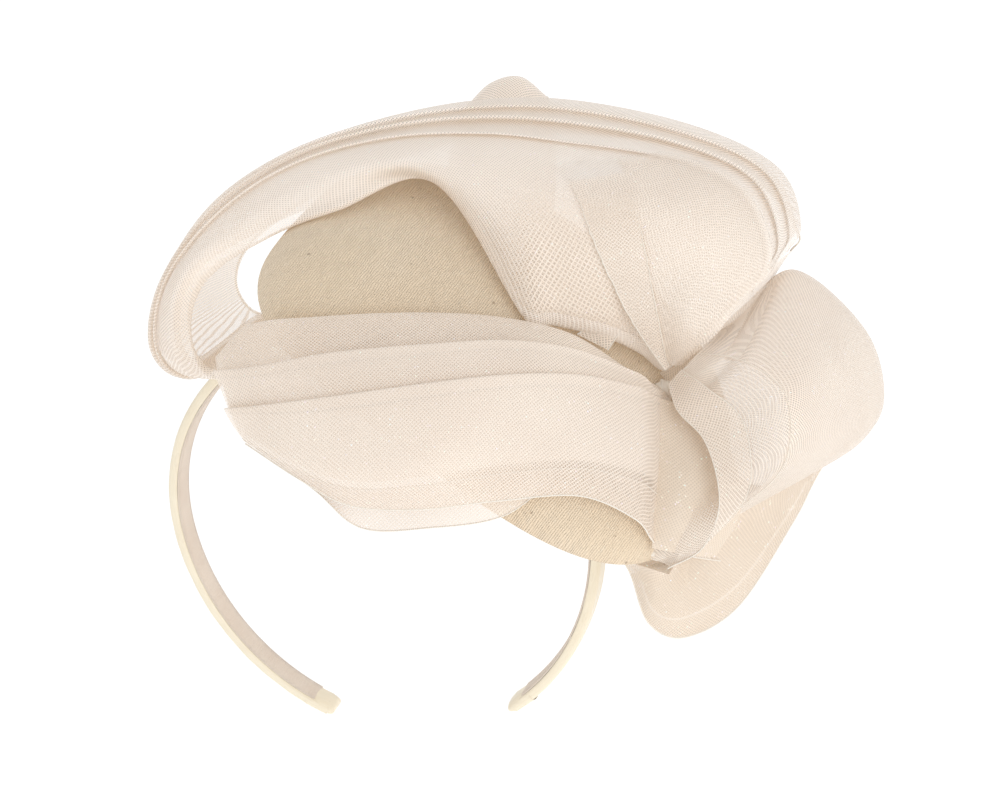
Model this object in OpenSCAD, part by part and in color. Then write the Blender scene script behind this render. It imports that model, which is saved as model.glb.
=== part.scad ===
// Headband with a felt covered oval base and a large gathered bow of open weave ribbon.
// Origin: middle of the band's inner face at the top of the head.
// +X is the wearer's left, -Y the front, +Z up.

/* [Headband] */
// Width of the finished band
band_width = 8; // [6:0.5:10]
// Thickness of the finished band
band_thick = 3.4; // [3:0.2:4.4]
// Radius of the band over the top of the head, to the middle of its thickness
crown_radius = 66; // [62:1:70]
// Radius of the band where it turns down over the temples
temple_radius = 56.5; // [53:0.5:60]
// Angle from the top at which the temple curve starts
temple_start = 45; // [40:1:50]
// Radius of the arms below the temples
arm_radius = 70; // [66:1:74]
// Angle that each arm turns through, down to its tip
arm_turn = 59; // [50:1:62]
// Width of the spring strip inside the band
core_width = 6; // [4:0.5:6.5]
// Thickness of the spring strip
core_thick = 1.6; // [1.2:0.2:1.8]
// Thickness of the ribbed ribbon that lines the band
lining_thick = 0.6; // [0.4:0.1:0.8]
// Gap between crown and arm at the spreading line
spread_gap = 0.2; // [0.1:0.1:0.4]

/* [Base] */
// Angle round the band at which the base sits
base_angle = 43; // [38:1:48]
// Forward lean of the base
base_lean = 15.5; // [10:0.5:18]
// Half length of the oval base, along the band
base_half_length = 69; // [65:1:72]
// Half width of the oval base, across the band
base_half_width = 51; // [48:1:53]
// Height of the dome
base_height = 26; // [24:1:27]
// Thickness of the felt covered shell
shell_wall = 2.4; // [1.6:0.2:3]
// Thickness of the base lining
base_lining_thick = 0.9; // [0.6:0.1:1.2]
// Diameter of the wire in the rim of the base
rim_wire_dia = 1.6; // [1:0.2:2]
// Tie stitches on each side of the band
tie_count = 4; // [3:1:5]

/* [Bow] */
// Thickness of the folded open weave ribbon
ribbon_thick = 1.4; // [1:0.2:1.6]
// Radius of the gathered knots
knot_radius = 4.5; // [4:0.5:5]

/* [Hidden] */

satin = [0.93, 0.86, 0.74];
ribbed = [0.92, 0.85, 0.78];
felt = [0.84, 0.76, 0.65];
crin = [0.90, 0.84, 0.76];
plastic = [0.88, 0.88, 0.86];
steel = [0.75, 0.75, 0.76];

smooth = 96;
half_thick = band_thick / 2;
cover_edge_radius = 1.1;
cover_inner = -half_thick + lining_thick;
lining_width = band_width - 1;
core_offset = 0.1;

// Centres of the band's three arcs, as [x, z]; the left side is the mirror of the right.
crown_centre = [0, half_thick - crown_radius];
temple_shift = crown_radius - temple_radius;
temple_centre = crown_centre + temple_shift * [sin(temple_start), cos(temple_start)];
arm_centre = [temple_centre[0] + temple_radius - arm_radius, temple_centre[1]];
gap_angle = atan(spread_gap / arm_radius);
tip_angle = 90 + arm_turn;

// ---- Band ----

// Turns a profile (x outward from the middle of the band, y across it) round an arc;
// angles are measured from straight up towards +X.
module band_arc(centre, radius, from, to)
    translate([centre[0], 0, centre[1]]) rotate([90, 0, 0]) rotate([0, 0, 90 - to])
        rotate_extrude(angle = to - from, $fn = smooth) translate([radius, 0]) children();

module mirrored() { children(); mirror([1, 0, 0]) children(); }

module crown_sweep() {
    band_arc(crown_centre, crown_radius, -temple_start, temple_start) children();
    mirrored() band_arc(temple_centre, temple_radius, temple_start, 90) children();
}

module arm_sweep() band_arc(arm_centre, arm_radius, 90 + gap_angle, tip_angle) children();

module core_profile() translate([core_offset - core_thick / 2, -core_width / 2])
    square([core_thick, core_width]);

module cover_outline() {
    r = cover_edge_radius;
    translate([cover_inner, -band_width / 2 + r]) square([half_thick - cover_inner, band_width - 2 * r]);
    translate([cover_inner, -band_width / 2]) square([half_thick - r - cover_inner, band_width]);
    for (side = [-1, 1]) translate([half_thick - r, side * (band_width / 2 - r)]) circle(r, $fn = 24);
}

module cover_profile() difference() { cover_outline(); core_profile(); }

module lining_profile() translate([-half_thick, -lining_width / 2]) square([lining_thick, lining_width]);

module tip_fold() translate([arm_centre[0], 0, arm_centre[1]]) rotate([0, tip_angle, 0])
    translate([0, 0, arm_radius]) rotate([90, 0, 0])
        difference() {
            cylinder(r = half_thick, h = band_width, center = true, $fn = smooth);
            translate([-band_thick, -band_thick, -band_width]) cube([band_thick, 2 * band_thick, 2 * band_width]);
        }

module crown_core() color(plastic) crown_sweep() core_profile();
module right_arm_core() color(plastic) arm_sweep() core_profile();
module left_arm_core() mirror([1, 0, 0]) right_arm_core();
module crown_cover() color(satin) crown_sweep() cover_profile();
module right_arm_cover() color(satin) arm_sweep() cover_profile();
module left_arm_cover() mirror([1, 0, 0]) right_arm_cover();
module crown_lining() color(ribbed) crown_sweep() lining_profile();
module right_arm_lining() color(ribbed) arm_sweep() lining_profile();
module left_arm_lining() mirror([1, 0, 0]) right_arm_lining();
module right_tip_fold() color(satin) tip_fold();
module left_tip_fold() mirror([1, 0, 0]) right_tip_fold();

// ---- Base ----

base_along = -4;
base_back = 2;
base_rise = 2.1;
base_seat = crown_centre + (crown_radius + half_thick) * [sin(base_angle), cos(base_angle)];
shell_steps = 48;
shell_rings = 8;
front_fullness = 3.2;
back_fullness = 2.3;
left_front_fullness = 3.7;
left_share = 0.942;
dome_power = 2.4;

module on_base() translate([base_seat[0], 0, base_seat[1]]) rotate([0, base_angle, 0])
    rotate([base_lean, 0, 0]) translate([base_along, base_back, base_rise]) children();

// Oval outline, fuller at the front than at the back, and a little shorter at its left end.
function oval_point(a, length, width) =
    let (front = cos(a) < 0 ? left_front_fullness : front_fullness,
         p = sin(a) < 0 ? front : back_fullness,
         k = pow(pow(abs(cos(a)), p) + pow(abs(sin(a)), p), -1 / p),
         share = cos(a) < 0 ? left_share : 1)
    [length * share * k * cos(a), width * k * sin(a)];

function oval(length, width) =
    [for (i = [0 : shell_steps - 1]) oval_point(360 * i / shell_steps, length, width)];

function dome_ring(r, length, width, height) =
    [for (p = oval(length * r, width * r)) [p[0], p[1], height * sqrt(max(0, 1 - pow(r, dome_power)))]];

function dome_points(length, width, height) =
    [for (i = [1 : shell_rings]) each dome_ring(sin(90 * i / shell_rings), length, width, height)];

function wrap(i, n) = (i + n) % n;

// Triangles that join ring k to ring k + 1; flip turns them over.
function ring_band(first, flip) = [for (i = [0 : shell_steps - 1])
    let (a = first + i, b = first + wrap(i + 1, shell_steps), c = b + shell_steps, d = a + shell_steps)
    each (flip ? [[a, b, c], [a, c, d]] : [[a, c, b], [a, d, c]])];

function ring_cap(first, centre, flip) = [for (i = [0 : shell_steps - 1])
    let (a = first + i, b = first + wrap(i + 1, shell_steps)) flip ? [a, centre, b] : [a, b, centre]];

module dome_shell() {
    n = shell_rings * shell_steps;
    outer = dome_points(base_half_length, base_half_width, base_height);
    inner = dome_points(base_half_length - shell_wall, base_half_width - shell_wall, base_height - shell_wall);
    points = concat(outer, inner, [[0, 0, base_height], [0, 0, base_height - shell_wall]]);
    last = (shell_rings - 1) * shell_steps;
    faces = concat(
        ring_cap(0, 2 * n, true),
        [for (k = [0 : shell_rings - 2]) each ring_band(k * shell_steps, true)],
        ring_cap(n, 2 * n + 1, false),
        [for (k = [0 : shell_rings - 2]) each ring_band(n + k * shell_steps, false)],
        [for (i = [0 : shell_steps - 1])
            let (a = last + i, b = last + wrap(i + 1, shell_steps)) each [[a, b, n + b], [a, n + b, n + a]]]);
    polyhedron(points, faces);
}

wire_inset = shell_wall + rim_wire_dia / 2 + 1.4;
wire_sides = 8;

module rim_wire_ring() {
    route = oval(base_half_length - wire_inset, base_half_width - wire_inset);
    r = rim_wire_dia / 2;
    points = [for (i = [0 : shell_steps - 1])
        let (ahead = route[wrap(i + 1, shell_steps)] - route[wrap(i - 1, shell_steps)],
             side = [ahead[1], -ahead[0]] / norm(ahead))
        for (j = [0 : wire_sides - 1]) let (a = 360 * (j + 0.5) / wire_sides)
            [route[i][0] + r * cos(a) * side[0], route[i][1] + r * cos(a) * side[1], r + r * sin(a)]];
    faces = [for (i = [0 : shell_steps - 1], j = [0 : wire_sides - 1])
        let (a = i * wire_sides + j, b = i * wire_sides + wrap(j + 1, wire_sides),
             c = wrap(i + 1, shell_steps) * wire_sides + wrap(j + 1, wire_sides),
             d = wrap(i + 1, shell_steps) * wire_sides + j)
        each [[a, c, b], [a, d, c]]];
    polyhedron(points, faces);
}

tie_pitch = 8;
tie_thick = 0.6;
tie_side = band_width / 2 + 0.4;
tie_drop = 3.6;

module tie_stitches() for (i = [0 : tie_count - 1], side = [-1, 1])
    translate([(i - (tie_count - 1) / 2) * tie_pitch - base_along - tie_thick / 2,
               side * (tie_side + tie_thick / 2) - base_back - tie_thick / 2,
               -base_lining_thick - tie_drop])
        cube([tie_thick, tie_thick, tie_drop]);

module base_shell() color(felt) on_base() dome_shell();
module base_lining() color(satin) on_base() translate([0, 0, -base_lining_thick])
    linear_extrude(base_lining_thick) polygon(oval(base_half_length - 0.5, base_half_width - 0.5));
module base_rim_wire() color(steel) on_base() rim_wire_ring();
module base_tie_stitches() color(satin) on_base() tie_stitches();

// ---- Bow ----

// The bow is laid out in its own tilted frame: x across the bow, y up it, z out of its front.
bow_turn = 21;
bow_lift = 19.5;
bow_roll = -11;
bow_centre = [42, 0, half_thick - 26];
bow_out = [sin(bow_turn) * cos(bow_lift), -cos(bow_turn) * cos(bow_lift), sin(bow_lift)];
level_across = [cos(bow_turn), sin(bow_turn), 0];
level_up = cross(bow_out, level_across);
bow_across = level_across * cos(bow_roll) + level_up * sin(bow_roll);
bow_up = level_up * cos(bow_roll) - level_across * sin(bow_roll);
function in_bow(p) = bow_centre + p[0] * bow_across + p[1] * bow_up + p[2] * bow_out;

// Smooth curve through points, with steps pieces between each two of them.
function through(a, b, c, d, t) =
    0.5 * (2 * b + (c - a) * t + (2 * a - 5 * b + 4 * c - d) * t * t + (3 * b - a - 3 * c + d) * t * t * t);
function curve(p, steps) =
    let (last = len(p) - 1, q = concat([2 * p[0] - p[1]], p, [2 * p[last] - p[last - 1]]))
    [for (i = [0 : last - 1], k = [0 : steps - 1]) through(q[i], q[i + 1], q[i + 2], q[i + 3], k / steps), p[last]];
function column(grid, j) = [for (row = grid) row[j]];
function turned(grid) = [for (j = [0 : len(grid[0]) - 1]) column(grid, j)];
function patch(stations, along, across) =
    turned([for (line = turned([for (row = stations) curve(row, across)])) curve(line, along)]);

function unit(v) = norm(v) > 0 ? v / norm(v) : [0, 0, 1];
function slope(grid, i, j) =
    let (m = len(grid) - 1, n = len(grid[0]) - 1,
         along = grid[min(m, i + 1)][j] - grid[max(0, i - 1)][j],
         across = grid[i][min(n, j + 1)] - grid[i][max(0, j - 1)])
    unit(cross(along, across));

// Closed solid of even thickness with the patch as its middle surface.
module sheet(stations, along, across, thick = ribbon_thick) {
    grid = [for (row = patch(stations, along, across)) [for (p = row) in_bow(p)]];
    rows = len(grid);
    cols = len(grid[0]);
    count = rows * cols;
    half = [for (i = [0 : rows - 1], j = [0 : cols - 1]) slope(grid, i, j) * thick / 2];
    middle = [for (row = grid) each row];
    points = concat(middle + half, middle - half);
    faces = concat(
        [for (i = [0 : rows - 2], j = [0 : cols - 2])
            let (a = i * cols + j, b = a + 1, c = a + cols + 1, d = a + cols)
            each [[a, b, c], [a, c, d], [count + a, count + c, count + b], [count + a, count + d, count + c]]],
        [for (j = [0 : cols - 2])
            let (a = j, b = j + 1, e = (rows - 1) * cols + j, f = e + 1)
            each [[a, count + b, b], [a, count + a, count + b], [e, f, count + f], [e, count + f, count + e]]],
        [for (i = [0 : rows - 2])
            let (a = i * cols, b = a + cols, e = a + cols - 1, f = e + cols)
            each [[a, b, count + b], [a, count + b, count + a], [e, count + f, f], [e, count + e, count + f]]]);
    polyhedron(points, faces);
}

// Each row is one station along the ribbon; its points run across the ribbon.
// Brim loop: from the main knot round the right end, over the top and down to the left end.
// Across: front edge, front face, crest, back edge.
brim_stations = [
    [[43, 7, 22], [58, 20, 30], [75, 36, 20], [78, 40, 10]],
    [[41, 8, 23], [60, 31, 34], [80, 46, 16], [81, 45, 4]],
    [[36, 12, 25], [51, 45, 38], [74, 63, 8], [74, 58, -6]],
    [[27, 16, 29], [36, 51, 38], [51, 75, 4], [53, 70, -12]],
    [[15, 19, 33], [15, 54, 34], [20, 82, 0], [21, 75, -16]],
    [[5, 22, 35], [-1, 58, 30], [-8, 82, -2], [-8, 74, -20]],
    [[-17, 57, 18], [-26, 63, 24], [-34, 77, -1], [-34, 67, -24]],
    [[-43, 50, 25], [-51, 58, 21], [-59, 67, 2], [-55, 57, -24]],
    [[-63, 42, 18], [-71, 47, 16], [-80, 52, 0], [-71, 45, -27]],
    [[-79, 31, 10], [-86, 32, 13], [-93, 31, -4], [-76, 35, -32]],
    [[-83, 17, 8], [-89, 14, 8], [-95, 15, -8], [-73, 27, -35]]];

// Tail of the brim loop: from the left end back under the base to the top of the band.
brim_tail_stations = [
    brim_stations[10],
    [[-78, 6, 6], [-82, 6, 0], [-84, 9, -10], [-66, 24, -36]],
    [[-62, 8, 9], [-64, 14, -1], [-64, 23, -13], [-57, 27, -32]],
    [[-41, 22, 8], [-41, 24, 2], [-41, 27, -5], [-40, 29, -14]]];

// Facing: second layer that covers the right part of the brim loop's fan.
facing_stations = [
    [[43, 8, 26], [33, 22, 34], [25, 37, 40], [18, 57, 37]],
    [[44, 9, 26], [41, 23, 38], [38, 40, 43], [35, 60, 36]],
    [[45, 9, 27], [48, 23, 41], [52, 40, 43], [56, 61, 30]],
    [[46, 9, 27], [54, 20, 38], [63, 34, 38], [71, 53, 23]],
    [[47, 9, 27], [59, 19, 34], [68, 27, 31], [76, 36, 22]]];

// Tab: small cut corner of ribbon inside the fan.
tab_stations = [
    [[20, 17, 30], [24, 15, 29], [28, 13, 28]],
    [[23, 19, 30], [27, 18, 29], [30, 16, 28]],
    [[27, 21, 31], [30, 21, 30], [33, 21, 29]]];

// Front loop, left end to knot. Across: back edge, up the back layer, over the top fold,
// down the front layer past its two tucks to the front edge.
front_stations = [
    [[-65, -10, 43], [-68, -5, 40], [-71, 6, 40], [-72, 11, 43], [-71, 7, 47], [-68, -2, 50], [-65, -8, 50],
     [-64, -11, 47]],
    [[-47, -22, 50], [-55, -10, 40], [-61, 8, 40], [-63, 19, 45], [-59, 8, 54], [-55, -1, 58], [-51, -14, 60],
     [-49, -20, 56]],
    [[-35, -32, 48], [-39, -13, 48], [-41, 8, 47], [-45, 21, 47], [-41, 11, 56], [-38, 1, 62], [-36, -17, 64],
     [-37, -26, 58]],
    [[-18, -32, 50], [-18, -12, 50], [-19, 8, 48], [-21, 22, 46], [-17, 13, 55], [-16, 4, 61], [-18, -15, 65],
     [-20, -27, 58]],
    [[1, -29, 48], [2, -12, 50], [1, 8, 46], [0, 21, 41], [1, 14, 49], [2, 6, 55], [1, -12, 58], [0, -25, 54]],
    [[17, -18, 47], [18, -8, 46], [18, 8, 40], [18, 17, 37], [18, 12, 43], [19, 6, 48], [20, -11, 51],
     [20, -24, 50]],
    [[30, -20, 43], [31, -10, 40], [33, 3, 32], [33, 8, 30], [34, 6, 34], [34, 3, 38], [35, -13, 44],
     [34, -30, 44]],
    [[37, -33, 37], [37, -18, 35], [39, 0, 28], [40, 4, 26], [41, 3, 28], [41, 1, 30], [41, -15, 36],
     [39, -36, 38]]];

// Right loop, main knot to lower knot. Across: mouth edge, crest, outer turn, back, in over the base.
right_stations = [
    [[44, 4, 28], [52, 13, 30], [62, 23, 20], [63, 22, 12], [53, 11, 16], [46, 3, 22]],
    [[46, -3, 34], [63, 12, 38], [78, 34, 10], [79, 30, -2], [63, 8, 9], [47, -4, 25]],
    [[52, -10, 39], [74, 4, 40], [98, 19, 0], [98, 15, -14], [69, -5, 8], [48, -12, 30]],
    [[55, -20, 43], [76, -8, 40], [104, 1, -4], [103, -1, -18], [70, -15, 8], [48, -21, 34]],
    [[55, -29, 43], [73, -18, 36], [99, -11, -2], [97, -11, -16], [68, -23, 8], [47, -28, 35]],
    [[51, -38, 39], [63, -27, 32], [85, -20, 2], [83, -19, -8], [63, -30, 12], [46, -35, 34]],
    [[43, -43, 35], [50, -38, 28], [61, -32, 10], [60, -31, 3], [53, -35, 16], [44, -40, 30]]];

// Lower loop, front to back. Across: sewn edge, middle, free edge.
lower_stations = [
    [[43, -43, 25], [38, -45, 19], [35, -47, 14]],
    [[48, -41, 19], [42, -51, 17], [40, -60, 10]],
    [[55, -38, 13], [50, -51, 13], [50, -64, 6]],
    [[64, -32, 8], [64, -43, 6], [65, -56, 1]],
    [[73, -26, 4], [76, -31, 1], [80, -34, -3]],
    [[81, -21, 0], [83, -22, -2], [86, -23, -5]]];

// Back loop, left to right. Across: front sewn edge, front face, tip, back face, back sewn edge.
back_stations = [
    [[-15, 58, -31], [-14, 72, -35], [-11, 85, -46], [-13, 75, -53], [-13, 60, -40]],
    [[-5, 56, -32], [-5, 75, -34], [-3, 93, -46], [-4, 80, -57], [-4, 59, -42]],
    [[6, 52, -33], [5, 76, -36], [6, 95, -46], [6, 80, -58], [6, 55, -43]],
    [[15, 47, -33], [16, 70, -38], [14, 89, -46], [15, 74, -55], [15, 50, -41]]];

main_knot_at = [43, 3, 24];
lower_knot_at = [41, -39, 31];
brim_tail_knot_at = [-39, 26, -3];

module knot(centre) translate(in_bow(centre)) sphere(knot_radius, $fn = 32);

module brim_loop() color(crin) sheet(brim_stations, 3, 3);
module brim_loop_tail() color(crin) sheet(brim_tail_stations, 3, 3);
module fan_facing() color(crin) sheet(facing_stations, 2, 3);
module inner_tab() color(crin) sheet(tab_stations, 2, 2);
module front_loop() color(crin) sheet(front_stations, 3, 2);
module right_loop() color(crin) sheet(right_stations, 3, 3);
module lower_loop() color(crin) sheet(lower_stations, 3, 3);
module back_loop() color(crin) sheet(back_stations, 3, 3);
module main_knot() color(crin) knot(main_knot_at);
module lower_knot() color(crin) knot(lower_knot_at);
module brim_tail_knot() color(crin) knot(brim_tail_knot_at);

crown_core();
left_arm_core();
right_arm_core();
crown_cover();
left_arm_cover();
right_arm_cover();
crown_lining();
left_arm_lining();
right_arm_lining();
left_tip_fold();
right_tip_fold();
base_shell();
base_lining();
base_rim_wire();
base_tie_stitches();
brim_loop();
brim_loop_tail();
fan_facing();
inner_tab();
front_loop();
right_loop();
lower_loop();
back_loop();
main_knot();
lower_knot();
brim_tail_knot();
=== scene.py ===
import math

import bpy
import numpy as np
from mathutils import Matrix, Vector


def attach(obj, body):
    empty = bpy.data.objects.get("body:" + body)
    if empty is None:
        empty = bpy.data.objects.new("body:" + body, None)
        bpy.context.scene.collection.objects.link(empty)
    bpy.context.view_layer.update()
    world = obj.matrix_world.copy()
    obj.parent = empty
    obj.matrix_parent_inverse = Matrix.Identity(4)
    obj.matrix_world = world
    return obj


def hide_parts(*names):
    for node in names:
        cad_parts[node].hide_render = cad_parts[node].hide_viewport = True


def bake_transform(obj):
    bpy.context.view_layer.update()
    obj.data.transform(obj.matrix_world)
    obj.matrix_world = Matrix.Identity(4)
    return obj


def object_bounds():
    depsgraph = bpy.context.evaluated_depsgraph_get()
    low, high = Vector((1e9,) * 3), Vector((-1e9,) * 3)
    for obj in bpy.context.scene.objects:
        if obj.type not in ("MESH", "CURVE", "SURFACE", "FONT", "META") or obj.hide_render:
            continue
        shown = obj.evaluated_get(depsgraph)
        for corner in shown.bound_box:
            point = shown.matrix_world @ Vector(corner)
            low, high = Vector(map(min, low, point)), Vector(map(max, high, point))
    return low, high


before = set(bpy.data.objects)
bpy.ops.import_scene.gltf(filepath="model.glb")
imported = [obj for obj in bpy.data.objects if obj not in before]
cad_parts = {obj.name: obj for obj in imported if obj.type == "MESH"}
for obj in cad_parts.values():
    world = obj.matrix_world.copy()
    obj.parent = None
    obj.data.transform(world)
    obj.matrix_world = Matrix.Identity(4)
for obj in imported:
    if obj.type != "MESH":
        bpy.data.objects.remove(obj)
cad_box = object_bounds()

MM = 0.001
NOISE_MIDDLE = (0.5, 0.5, 0.5)

# ---------------------------------------------------------------- sizes, in millimetres
band_width = 8.0
band_thick = 3.4
half_thick = band_thick / 2
crown_radius = 66.0
temple_radius = 56.5
temple_start = 45.0
arm_radius = 70.0
arm_turn = 59.0

base_angle = 43.0
base_lean = 15.5
base_half_length = 69.0
base_half_width = 51.0
base_height = 26.0
base_along, base_back, base_rise = -4.0, 2.0, 2.1

bow_turn, bow_lift, bow_roll = 21.0, 19.5, -11.0
bow_centre = np.array([42.0, 0.0, half_thick - 26.0])

# ---------------------------------------------------------------- the bow's own frame


def bow_axes():
    turn, lift, roll = (math.radians(a) for a in (bow_turn, bow_lift, bow_roll))
    out = np.array([math.sin(turn) * math.cos(lift), -math.cos(turn) * math.cos(lift), math.sin(lift)])
    level = np.array([math.cos(turn), math.sin(turn), 0.0])
    rise = np.cross(out, level)
    across = level * math.cos(roll) + rise * math.sin(roll)
    up = rise * math.cos(roll) - level * math.sin(roll)
    return across, up, out


ACROSS, UP, OUT = bow_axes()


def from_bow(points):
    points = np.asarray(points, float)
    return bow_centre + points[..., 0:1] * ACROSS + points[..., 1:2] * UP + points[..., 2:3] * OUT


# ---------------------------------------------------------------- camera


def make_camera():
    distance, lens, sensor = 600.0, 79.2, 36.0
    data = bpy.data.cameras.new("camera")
    data.lens = lens
    data.sensor_width = sensor
    data.clip_start = 0.01
    data.clip_end = 50.0
    camera = bpy.data.objects.new("camera", data)
    bpy.context.scene.collection.objects.link(camera)
    turn = Matrix((ACROSS, UP, OUT)).transposed().to_4x4()
    camera.matrix_world = Matrix.Translation(Vector((bow_centre + distance * OUT) * MM)) @ turn
    bpy.context.scene.camera = camera


make_camera()

# ---------------------------------------------------------------- node building


class Nodes:
    """Short way to add and join nodes in one tree."""

    def __init__(self, tree):
        self.tree = tree

    def add(self, kind, *links, **values):
        node = self.tree.nodes.new(kind)
        for name, value in values.items():
            if name.startswith("in_"):
                node.inputs[int(name[3:])].default_value = value
            else:
                setattr(node, name, value)
        for index, source in enumerate(links):
            if source is not None:
                self.tree.links.new(source, node.inputs[index])
        return node

    def math(self, operation, a, b=None, c=None):
        node = self.tree.nodes.new("ShaderNodeMath")
        node.operation = operation
        for index, value in enumerate((a, b, c)):
            if value is None:
                continue
            if isinstance(value, (int, float)):
                node.inputs[index].default_value = value
            else:
                self.tree.links.new(value, node.inputs[index])
        return node.outputs[0]

    def mix(self, factor, a, b):
        node = self.tree.nodes.new("ShaderNodeMix")
        node.data_type = "RGBA"
        for index, value in ((0, factor), (6, a), (7, b)):
            if isinstance(value, (int, float)):
                node.inputs[index].default_value = value
            elif isinstance(value, tuple):
                node.inputs[index].default_value = (*value, 1.0)
            else:
                self.tree.links.new(value, node.inputs[index])
        return node.outputs[2]

    def remap(self, value, low, high, to_low, to_high, smooth=True):
        node = self.tree.nodes.new("ShaderNodeMapRange")
        node.interpolation_type = "SMOOTHSTEP" if smooth else "LINEAR"
        self.tree.links.new(value, node.inputs[0])
        for index, number in enumerate((low, high, to_low, to_high)):
            if isinstance(number, (int, float)):
                node.inputs[index + 1].default_value = number
            else:
                self.tree.links.new(number, node.inputs[index + 1])
        return node.outputs[0]

    def noise(self, vector, scale, detail=2.0, rough=0.5):
        node = self.tree.nodes.new("ShaderNodeTexNoise")
        self.tree.links.new(vector, node.inputs["Vector"])
        node.inputs["Scale"].default_value = scale
        node.inputs["Detail"].default_value = detail
        node.inputs["Roughness"].default_value = rough
        return node

    def bump(self, height, strength, distance):
        node = self.tree.nodes.new("ShaderNodeBump")
        node.inputs["Strength"].default_value = strength
        node.inputs["Distance"].default_value = distance
        self.tree.links.new(height, node.inputs["Height"])
        return node.outputs[0]


def new_group(name, inputs, outputs):
    tree = bpy.data.node_groups.new(name, "ShaderNodeTree")
    for label, kind, value in inputs:
        socket = tree.interface.new_socket(label, in_out="INPUT", socket_type=kind)
        if value is not None:
            socket.default_value = value
    for label, kind in outputs:
        tree.interface.new_socket(label, in_out="OUTPUT", socket_type=kind)
    return tree, Nodes(tree), tree.nodes.new("NodeGroupInput"), tree.nodes.new("NodeGroupOutput")


FLOAT, VECTOR, COLOUR = "NodeSocketFloat", "NodeSocketVector", "NodeSocketColor"


def make_open_weave():
    """Crossed filaments, one family each way, passing over and under each other."""
    tree, n, given, out = new_group(
        "open_weave",
        [("Place", VECTOR, None), ("Pitch", FLOAT, 0.001), ("Filament Share", FLOAT, 0.4),
         ("Wander", FLOAT, 0.2)],
        [("Cover", FLOAT), ("Height", FLOAT)],
    )
    drift = n.noise(given.outputs[0], 90.0, 2.0)
    centred = n.add("ShaderNodeVectorMath", drift.outputs["Color"], operation="SUBTRACT", in_1=NOISE_MIDDLE)
    reach = n.math("MULTIPLY", given.outputs[3], 0.006)
    moved = n.add("ShaderNodeVectorMath", centred.outputs[0], operation="SCALE")
    tree.links.new(reach, moved.inputs[3])
    place = n.add("ShaderNodeVectorMath", given.outputs[0], moved.outputs[0], operation="ADD")
    parts = n.add("ShaderNodeSeparateXYZ", place.outputs[0])
    along = n.math("DIVIDE", n.math("ADD", parts.outputs[0], parts.outputs[1]), given.outputs[1])
    aside = n.math("DIVIDE", n.math("SUBTRACT", parts.outputs[0], parts.outputs[1]), given.outputs[1])
    covers, heights = [], []
    over = n.math("MULTIPLY", n.math("SINE", n.math("MULTIPLY", along, math.pi)),
                  n.math("SINE", n.math("MULTIPLY", aside, math.pi)))
    edge = n.math("SUBTRACT", 1.0, given.outputs[2])
    for sign, line in ((1, along), (-1, aside)):
        ridge = n.math("MULTIPLY", n.math("PINGPONG", line, 0.5), 2.0)
        low = n.math("SUBTRACT", edge, 0.12)
        high = n.math("ADD", edge, 0.12)
        cover = n.remap(ridge, low, high, 0.0, 1.0)
        covers.append(cover)
        lift = n.math("ADD", 0.75, n.math("MULTIPLY", over, 0.25 * sign))
        rounded = n.math("POWER", n.remap(ridge, low, 1.0, 0.0, 1.0, False), 0.6)
        heights.append(n.math("MULTIPLY", rounded, lift))
    tree.links.new(n.math("MAXIMUM", *covers), out.inputs[0])
    tree.links.new(n.math("MAXIMUM", *heights), out.inputs[1])
    return tree


def make_sparkle():
    """Sparse fine glints, each with a faint tint of its own."""
    tree, n, given, out = new_group(
        "sparkle",
        [("Place", VECTOR, None), ("Grain", FLOAT, 2200.0), ("Amount", FLOAT, 0.05)],
        [("Mask", FLOAT), ("Tint", COLOUR)],
    )
    cells = n.add("ShaderNodeTexVoronoi", given.outputs[0])
    tree.links.new(given.outputs[1], cells.inputs["Scale"])
    parts = n.add("ShaderNodeSeparateColor", cells.outputs["Color"])
    chosen = n.math("GREATER_THAN", parts.outputs[0], n.math("SUBTRACT", 1.0, given.outputs[2]))
    core = n.remap(cells.outputs["Distance"], 0.15, 0.5, 1.0, 0.0)
    patchy = n.remap(n.noise(given.outputs[0], 160.0, 2.0).outputs["Fac"], 0.42, 0.62, 0.15, 1.0)
    tree.links.new(n.math("MULTIPLY", n.math("MULTIPLY", chosen, core), patchy), out.inputs[0])
    hue = n.add("ShaderNodeCombineColor", parts.outputs[1], mode="HSV", in_1=0.18, in_2=1.0)
    tree.links.new(hue.outputs[0], out.inputs[1])
    return tree


def make_plain_weave():
    """Fine plain woven cloth: height of warp and weft."""
    tree, n, given, out = new_group(
        "plain_weave",
        [("Place", VECTOR, None), ("Pitch", FLOAT, 0.0004), ("Slub", FLOAT, 0.3)],
        [("Height", FLOAT), ("Tone", FLOAT)],
    )
    drift = n.noise(given.outputs[0], 260.0, 3.0)
    centred = n.add("ShaderNodeVectorMath", drift.outputs["Color"], operation="SUBTRACT", in_1=NOISE_MIDDLE)
    moved = n.add("ShaderNodeVectorMath", centred.outputs[0], operation="SCALE")
    tree.links.new(n.math("MULTIPLY", given.outputs[2], 0.0016), moved.inputs[3])
    place = n.add("ShaderNodeVectorMath", given.outputs[0], moved.outputs[0], operation="ADD")
    parts = n.add("ShaderNodeSeparateXYZ", place.outputs[0])
    waves = []
    for socket in parts.outputs[:2]:
        phase = n.math("MULTIPLY", n.math("DIVIDE", socket, given.outputs[1]), math.pi)
        waves.append(n.math("ABSOLUTE", n.math("SINE", phase)))
    weft = n.math("ADD", 0.55, n.math("MULTIPLY", waves[1], 0.45))
    height = n.math("MULTIPLY", n.math("POWER", waves[0], 0.7), weft)
    tree.links.new(height, out.inputs[0])
    tone = n.noise(place.outputs[0], 900.0, 3.0, 0.6)
    tree.links.new(tone.outputs["Fac"], out.inputs[1])
    return tree


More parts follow.
